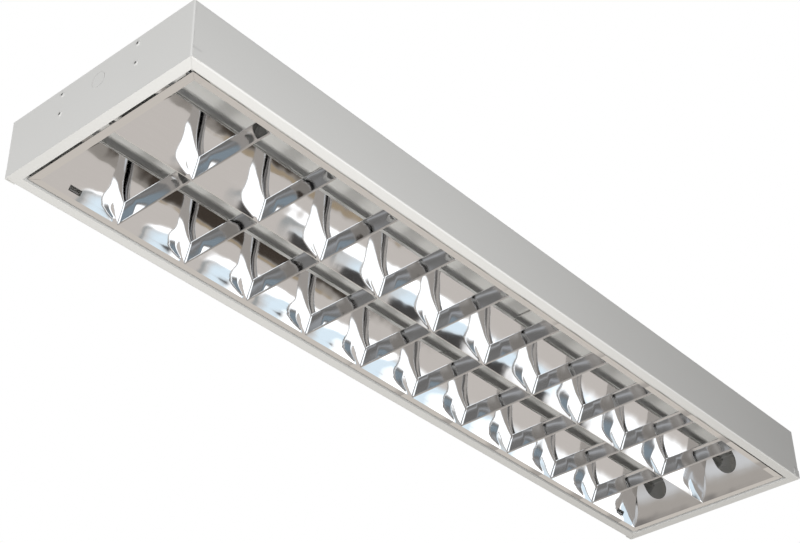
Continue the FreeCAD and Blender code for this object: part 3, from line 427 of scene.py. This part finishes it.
def blade_tree():
    """Nodes that bend a grid into a V blade with hollow flanks, fit its ends and repeat it along the row."""
    group = bpy.data.node_groups.new("cross_blades", "GeometryNodeTree")
    group.interface.new_socket("Geometry", in_out="OUTPUT", socket_type="NodeSocketGeometry")
    group.interface.new_socket("Count", in_out="INPUT", socket_type="NodeSocketInt")
    for name in ("Pitch", "Height", "Top Width", "Nose Width", "Flare", "Row Width", "Foot", "Fit",
                 "Lean", "Bulge", "Reflector Height", "Base", "Turn"):
        group.interface.new_socket(name, in_out="INPUT", socket_type="NodeSocketFloat")
    group.interface.new_socket("Finish", in_out="INPUT", socket_type="NodeSocketMaterial")
    nodes = Tree(group)
    inputs = group.nodes.new("NodeGroupInput")

    def given(name):
        return Socket(nodes, inputs.outputs[name])

    grid = nodes.add("GeometryNodeMeshGrid", None,
                     {"Size X": 2.0, "Size Y": 1.0, "Vertices X": FLANK_POINTS, "Vertices Y": LENGTH_POINTS})
    spot = nodes.add("GeometryNodeInputPosition")
    across = nodes.add("ShaderNodeSeparateXYZ", None, {0: spot}, out=0)
    along = nodes.add("ShaderNodeSeparateXYZ", None, {0: spot}, out=1)
    rise = abs(across)
    flare = rise * rise * rise * rise
    spread = rise - given("Flare") * (rise - flare)
    x = across.sign() * (given("Nose Width") + (given("Top Width") - given("Nose Width")) * spread) / 2
    z = given("Height") * rise
    share = z / given("Reflector Height")
    lean = given("Lean") * share - given("Bulge") * 4 * share * (1 - share) + given("Fit")
    y = given("Foot") + lean + (along + 0.5) * (given("Row Width") - 2 * lean)
    place_on = nodes.add("ShaderNodeCombineXYZ", None, {0: x, 1: y, 2: z + given("Base")})
    blade = nodes.add("GeometryNodeSetPosition", None, {"Geometry": grid, "Position": place_on})
    smooth = nodes.add("GeometryNodeSetShadeSmooth", None, {"Geometry": blade})
    start = given("Pitch") * (given("Count") - 1) / -2
    first = nodes.add("ShaderNodeCombineXYZ", None, {0: start})
    step = nodes.add("ShaderNodeCombineXYZ", None, {0: given("Pitch")})
    line = nodes.add("GeometryNodeMeshLine", None,
                     {"Count": given("Count"), "Start Location": first, "Offset": step})
    row = nodes.add("GeometryNodeInstanceOnPoints", None, {"Points": line, "Instance": smooth})
    turn = nodes.add("ShaderNodeCombineXYZ", None, {2: given("Turn")})
    turned = nodes.add("GeometryNodeTransform", None, {"Geometry": row, "Rotation": turn})
    real = nodes.add("GeometryNodeRealizeInstances", None, {"Geometry": turned})
    done = nodes.add("GeometryNodeSetMaterial", None, {"Geometry": real, "Material": given("Finish")})
    nodes.add("NodeGroupOutput", None, {"Geometry": done})
    return group


def grow(name, group, values):
    """A plain mesh object from a node tree, with the tree's inputs set by name."""
    holder = bpy.data.objects.new(name, bpy.data.meshes.new(name + "_seed"))
    bpy.context.scene.collection.objects.link(holder)
    modifier = holder.modifiers.new("shape", "NODES")
    modifier.node_group = group
    for item in group.interface.items_tree:
        if item.in_out == "INPUT" and item.name in values:
            modifier[item.identifier] = values[item.name]
    bpy.context.view_layer.update()
    depsgraph = bpy.context.evaluated_depsgraph_get()
    mesh = bpy.data.meshes.new_from_object(holder.evaluated_get(depsgraph), depsgraph=depsgraph)
    holder.modifiers.clear()
    holder.data = mesh
    mesh.name = name
    return holder


class LOUVRE_OT_steel_box(bpy.types.Operator):
    """Enamel the folded body, the end caps and their rivets"""
    bl_idname = "louvre.steel_box"
    bl_label = "Steel box"

    def execute(self, context):
        look = context.scene.louvre_finishes
        dress(nodes_named("body_shell", "end_cap_"), paint_finish(look))
        dress(nodes_named("holder_rivets_"), rivet_finish(look))
        return {"FINISHED"}


class LOUVRE_OT_reflectors(bpy.types.Operator):
    """Polish the side, end and spine reflectors"""
    bl_idname = "louvre.reflectors"
    bl_label = "Reflectors"

    def execute(self, context):
        look = context.scene.louvre_finishes
        side = mirror_finish(look, "side", "x", look.wave_depth, sagging, look.side_sag, look.side_foot)
        spine = mirror_finish(look, "spine", "x", look.wave_depth, sagging, look.spine_sag, 0.0)
        end = mirror_finish(look, "end", "y", look.wave_depth, dented, look.end_dent)
        cross = mirror_finish(look, "cross", "y", look.blade_wave, dented, look.blade_dent)
        dress(nodes_named("side_reflector_"), side)
        dress(nodes_named("spine_reflector"), spine)
        dress(nodes_named("end_reflector_"), end)
        dress(nodes_named("cross_blade_"), cross)
        return {"FINISHED"}


class LOUVRE_OT_cross_blades(bpy.types.Operator):
    """Make both rows of cross blades"""
    bl_idname = "louvre.cross_blades"
    bl_label = "Cross blades"

    def execute(self, context):
        blades = context.scene.louvre_blades
        group = blade_tree()
        foot = SPINE_HIGH.y - blades.lean
        values = {
            "Pitch": blades.pitch,
            "Height": blades.height,
            "Top Width": blades.top_width,
            "Nose Width": blades.nose_width,
            "Flare": blades.flare,
            "Foot": foot,
            "Row Width": SIDE_LOW.y + blades.lean - foot,
            "Fit": blades.fit,
            "Lean": blades.lean,
            "Bulge": blades.bulge,
            "Reflector Height": blades.reflector_height,
            "Base": BLADE_LOW.z,
            "Finish": bpy.data.materials["mirror_cross"],
        }
        for row, side in ROWS.items():
            values["Count"] = len(BLADE_NODES[row])
            values["Turn"] = 0.0 if side > 0 else math.pi
            piece = grow(f"cross_blades_{row}", group, values)
            sheet = piece.modifiers.new("sheet", "SOLIDIFY")
            sheet.thickness = blades.sheet
            sheet.offset = -1.0
            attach(piece, "louvre")
            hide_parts(*BLADE_NODES[row])
        return {"FINISHED"}


class LOUVRE_OT_lampholders(bpy.types.Operator):
    """Finish the lampholders, their rotors and contacts"""
    bl_idname = "louvre.lampholders"
    bl_label = "Lampholders"

    def execute(self, context):
        look = context.scene.louvre_finishes
        plastic = moulded_finish("holder_plastic", look.holder, 0.3)
        dress(nodes_named("lampholder_body_", "lampholder_rotor_"), plastic)
        dress(nodes_named("lampholder_contacts_", "earth_stud"), brass_finish(look))
        return {"FINISHED"}


class LOUVRE_OT_fittings(bpy.types.Operator):
    """Finish the plates, pins, screws, brackets and springs"""
    bl_idname = "louvre.fittings"
    bl_label = "Fittings"

    def execute(self, context):
        look = context.scene.louvre_finishes
        zinc = plated_finish("zinc_plate", look.zinc, 0.28, 160.0)
        dress(nodes_named("hinge_", "corner_plates", "lampholder_bracket_"), zinc)
        dress(["ballast_screws", "terminal_screws"], zinc)
        dress(nodes_named("catch_spring_"), plated_finish("spring_steel", look.spring, 0.2, 60.0))
        return {"FINISHED"}


class LOUVRE_OT_control_gear(bpy.types.Operator):
    """Finish the ballast, terminal block, wires and bush"""
    bl_idname = "louvre.control_gear"
    bl_label = "Control gear"

    def execute(self, context):
        look = context.scene.louvre_finishes
        dress(["ballast"], moulded_finish("gear_case", look.gear, 0.5))
        dress(["terminal_block"], moulded_finish("terminal_moulding", look.terminal, 0.4))
        dress(["entry_bush"], moulded_finish("bush_rubber", look.rubber, 0.6))
        dress(["lamp_wires", "mains_leads"], moulded_finish("wire_sleeve", look.wire, 0.35))
        return {"FINISHED"}


class Panel(typing.NamedTuple):
    """A studio panel that only the mirrors show, by its direction from the light in degrees."""
    name: str
    azimuth: float
    elevation: float
    width: float
    height: float
    tilt: float
    edge: float
    level: float
    tint: tuple
    layer: int = 0


PANELS = (
    Panel("ceiling", 0.0, 90.0, 178.0, 178.0, 0.0, 0.02, 0.34, (1.0, 0.97, 0.93), 5),
    Panel("ground", 0.0, -90.0, 178.0, 178.0, 0.0, 0.02, 0.42, (1.0, 0.925, 0.85), 5),
    Panel("window_left", -118.0, -27.0, 32.0, 26.0, -8.0, 0.12, 1.7, (0.96, 0.985, 1.0), 1),
    Panel("window_right", -22.5, -13.5, 40.0, 22.0, -6.0, 0.50, 1.8, (0.97, 0.985, 1.0), 1),
    Panel("window_low", -48.0, -22.8, 10.0, 8.0, 0.0, 0.40, 1.7, (0.98, 0.99, 1.0), 1),
    Panel("sky_right", -41.0, -16.5, 20.0, 14.0, 0.0, 0.60, 1.05, (0.78, 0.91, 1.0), 2),
    Panel("frame_right", -51.0, -17.0, 3.0, 16.0, 0.0, 0.90, 0.36, (0.96, 1.0, 1.0), 2),
    Panel("sill_right", -44.5, -10.0, 11.0, 5.0, 0.0, 0.40, 0.06, (1.0, 0.95, 0.92), 1),
    Panel("bench", -47.0, -39.5, 11.0, 9.0, 0.0, 0.25, 0.05, (1.0, 0.78, 0.62), 1),
    Panel("board", -49.0, -34.2, 10.0, 1.8, -6.0, 0.40, 0.36, (1.0, 0.80, 0.55), 0),
    Panel("curtain_left", -158.0, -23.0, 42.0, 30.0, 0.0, 0.10, 0.22, (1.0, 0.98, 0.95), 4),
    Panel("blind_far", -163.0, -26.0, 6.0, 28.0, 8.0, 0.95, 0.46, (0.97, 0.98, 1.0), 3),
    Panel("blind_gap", -156.0, -24.0, 8.0, 28.0, 8.0, 0.95, 0.18, (1.0, 0.97, 0.94), 3),
    Panel("blind_near", -149.5, -23.0, 6.0, 26.0, 8.0, 0.95, 0.42, (0.93, 0.96, 1.0), 3),
    Panel("fold_left", -141.5, -26.0, 9.0, 26.0, 0.0, 0.60, 0.36, (0.72, 0.88, 1.0), 2),
    Panel("wall_right", -58.0, -24.0, 60.0, 30.0, 0.0, 0.15, 0.60, (1.0, 0.93, 0.87), 3),
    Panel("mat_right", -31.0, -48.0, 46.0, 30.0, 0.0, 0.20, 0.30, (1.0, 0.92, 0.83), 2),
    Panel("mat_far", -19.0, -47.0, 22.0, 22.0, 0.0, 0.95, 0.46, (1.0, 0.94, 0.87), 1),
    Panel("sheet_middle", -100.0, -53.5, 12.0, 7.0, 0.0, 0.40, 0.70, (0.94, 0.97, 1.0), 2),
    Panel("wall_back", 40.0, -33.0, 46.0, 36.0, 0.0, 0.20, 0.63, (1.0, 0.925, 0.84), 2),
    Panel("curtain_back", 126.0, -36.0, 14.0, 26.0, 0.0, 0.30, 0.17, (1.0, 0.95, 0.88), 2),
    Panel("rug_end", 148.0, -27.5, 30.0, 11.0, 0.0, 0.90, 0.16, (1.0, 0.94, 0.9), 2),
    Panel("sheet_end", 148.0, -43.0, 30.0, 16.0, 0.0, 0.90, 0.66, (0.98, 0.99, 1.0), 2),
    Panel("sheet_far", -165.0, -52.0, 30.0, 8.0, 0.0, 0.50, 1.3, (0.98, 0.99, 1.0), 2),
)


class SoftLight(typing.NamedTuple):
    """Length and width of a soft light in metres, and its tint."""
    size: tuple
    tint: tuple = WHITE


SOFT_LIGHTS = {
    "key": SoftLight((0.9, 0.9), (0.985, 0.99, 1.0)),
    "low": SoftLight((2.4, 0.3), (1.0, 0.98, 0.93)),
    "end": SoftLight((0.8, 0.8)),
    "fill": SoftLight((1.4, 0.8), (1.0, 0.985, 0.95)),
    "back": SoftLight((1.6, 1.0)),
}
LAYER_GAP = 0.05


def soft_light(name, watts, kind, at, aim):
    """A soft light that faces a point, lies along the light fitting and doesn't show in the mirrors."""
    lamp = bpy.data.lights.new(name, "AREA")
    lamp.energy = watts
    lamp.shape = "RECTANGLE"
    lamp.size, lamp.size_y = kind.size
    lamp.color = kind.tint
    light = bpy.data.objects.new(name, lamp)
    light.location = at
    light.rotation_mode = "QUATERNION"
    back = (Vector(at) - Vector(aim)).normalized()
    along = (Vector((1.0, 0.0, 0.0)) - back * back.x).normalized()
    light.rotation_quaternion = Matrix((along, back.cross(along), back)).transposed().to_quaternion()
    light.visible_glossy = False
    bpy.context.scene.collection.objects.link(light)


def flat_sheet(name, finish):
    """A two by two square that belongs to the stage."""
    mesh = bpy.data.meshes.new(name)
    mesh.from_pydata([(-1, -1, 0), (1, -1, 0), (1, 1, 0), (-1, 1, 0)], [], [(0, 1, 2, 3)])
    mesh.materials.append(finish)
    sheet = bpy.data.objects.new(name, mesh)
    bpy.context.scene.collection.objects.link(sheet)
    return sheet


def panel_finish(panel):
    """An even glow that fades out towards the panel's edges."""
    finish = Finish("panel_" + panel.name)
    across = finish.ease(1.0 - abs(finish.axis(0)), 0.0, panel.edge)
    upright = finish.ease(1.0 - abs(finish.axis(1)), 0.0, panel.edge)
    inside = across * upright
    glow = finish.add("ShaderNodeEmission", None, {"Color": rgba(panel.tint), "Strength": panel.level})
    clear = finish.add("ShaderNodeBsdfTransparent")
    shader = finish.add("ShaderNodeMixShader", None, {0: inside, 1: clear, 2: glow})
    finish.add("ShaderNodeOutputMaterial", None, {"Surface": shader})
    finish.material.cycles.emission_sampling = "NONE"
    return finish.material


def stand_panel(panel, reach):
    """Puts a panel in its direction, facing the light."""
    sheet = flat_sheet("panel_" + panel.name, panel_finish(panel))
    azimuth, elevation = math.radians(panel.azimuth), math.radians(panel.elevation)
    level = math.cos(elevation)
    way = Vector((level * math.cos(azimuth), level * math.sin(azimuth), math.sin(elevation)))
    distance = reach * (1.0 + LAYER_GAP * panel.layer)
    sheet.location = way * distance
    sheet.rotation_mode = "QUATERNION"
    facing = (-way).to_track_quat("Z", "Y")
    sheet.rotation_quaternion = facing @ Quaternion((0.0, 0.0, 1.0), math.radians(panel.tilt))
    sheet.scale = (distance * math.tan(math.radians(panel.width / 2)),
                   distance * math.tan(math.radians(panel.height / 2)), 1.0)
    sheet.visible_camera = False
    sheet.visible_diffuse = False
    sheet.visible_shadow = False
    sheet.visible_transmission = False


def floor_finish(tint):
    """Plain floor that the camera sees at about its own colour, and that fades to white far away."""
    finish = Finish("studio_floor")
    grain = finish.noise(2.0, 5.0)
    tone = finish.mix(grain, shade(tint, 0.97), shade(tint, 1.03))
    away = finish.add("ShaderNodeVectorMath", {"operation": "LENGTH"}, {0: finish.place}, out="Value")
    far = finish.ease(away, 0.1, 0.95)
    lit = finish.add("ShaderNodeBsdfDiffuse", None, {"Color": tone})
    glow = finish.add("ShaderNodeEmission", None, {"Color": finish.mix(far, tone, WHITE)})
    seen = finish.add("ShaderNodeLightPath", out="Is Camera Ray")
    shader = finish.add("ShaderNodeMixShader", None, {0: seen, 1: lit, 2: glow})
    finish.add("ShaderNodeOutputMaterial", None, {"Surface": shader})
    finish.material.cycles.emission_sampling = "NONE"
    return finish.material


def studio_world(ambient):
    """White to the camera and in reflections, and a plain level of light otherwise."""
    world = bpy.data.worlds.new("studio")
    world.use_nodes = True
    nodes = Tree(world.node_tree)
    world.node_tree.nodes.clear()
    seen = nodes.add("ShaderNodeLightPath", out="Is Camera Ray")
    mirrored = nodes.add("ShaderNodeLightPath", out="Is Glossy Ray")
    through = nodes.add("ShaderNodeLightPath", out="Is Transmission Ray")
    shown = seen.sum("MAXIMUM", seen.sum("MAXIMUM", seen, mirrored), through)
    sky = nodes.add("ShaderNodeBackground", None,
                    {"Color": rgba(WHITE), "Strength": ambient + shown * (1.0 - ambient)})
    nodes.add("ShaderNodeOutputWorld", None, {"Surface": sky})
    return world


class LOUVRE_OT_stage(bpy.types.Operator):
    """Build the floor, the lights, the world and the camera"""
    bl_idname = "louvre.stage"
    bl_label = "Stage"

    def execute(self, context):
        scene = context.scene
        stage = scene.louvre_stage
        scene.view_settings.view_transform = "Standard"
        scene.world = studio_world(stage.ambient)
        floor = flat_sheet("floor", floor_finish(stage.floor))
        floor.location.z = -stage.floor_drop
        floor.scale = (stage.floor_size / 2, stage.floor_size / 2, 1.0)
        floor.visible_glossy = False
        for panel in PANELS:
            stand_panel(panel, stage.panel_reach)
        middle = Vector(CAD_BOX[0]).lerp(Vector(CAD_BOX[1]), 0.5)
        for name, kind in SOFT_LIGHTS.items():
            watts = getattr(stage, name + "_power")
            soft_light(name + "_light", watts, kind, getattr(stage, name + "_at"), middle)
        lens = bpy.data.cameras.new("camera")
        lens.lens = stage.lens
        lens.sensor_width = SENSOR_WIDTH
        camera = bpy.data.objects.new("camera", lens)
        camera.location = stage.camera
        view = (Vector(stage.aim) - Vector(stage.camera)).to_track_quat("-Z", "Y")
        camera.rotation_mode = "QUATERNION"
        camera.rotation_quaternion = view @ Quaternion((0.0, 0.0, 1.0), stage.roll)
        scene.collection.objects.link(camera)
        scene.camera = camera
        return {"FINISHED"}


OPERATORS = (
    LOUVRE_OT_steel_box,
    LOUVRE_OT_reflectors,
    LOUVRE_OT_cross_blades,
    LOUVRE_OT_lampholders,
    LOUVRE_OT_fittings,
    LOUVRE_OT_control_gear,
    LOUVRE_OT_stage,
)


class LOUVRE_PT_sidebar(bpy.types.Panel):
    """Lists the steps in the order that builds the light"""
    bl_idname = "LOUVRE_PT_sidebar"
    bl_label = "Louvre light"
    bl_space_type = "VIEW_3D"
    bl_region_type = "UI"
    bl_category = "Louvre light"

    def draw(self, context):
        for operator in OPERATORS:
            self.layout.operator(operator.bl_idname)


GROUPS = {
    "louvre_finishes": LouvreFinishes,
    "louvre_blades": LouvreBlades,
    "louvre_stage": LouvreStage,
}


def register():
    for cls in (*GROUPS.values(), *OPERATORS, LOUVRE_PT_sidebar):
        bpy.utils.register_class(cls)
    for name, group in GROUPS.items():
        setattr(bpy.types.Scene, name, bpy.props.PointerProperty(type=group))


def unregister():
    for name in GROUPS:
        delattr(bpy.types.Scene, name)
    for cls in (LOUVRE_PT_sidebar, *reversed(OPERATORS), *reversed(GROUPS.values())):
        bpy.utils.unregister_class(cls)


def main():
    register()
    bpy.ops.louvre.steel_box()
    bpy.ops.louvre.reflectors()
    bpy.ops.louvre.cross_blades()
    bpy.ops.louvre.lampholders()
    bpy.ops.louvre.fittings()
    bpy.ops.louvre.control_gear()
    bpy.ops.louvre.stage()


if __name__ == "__main__":
    main()
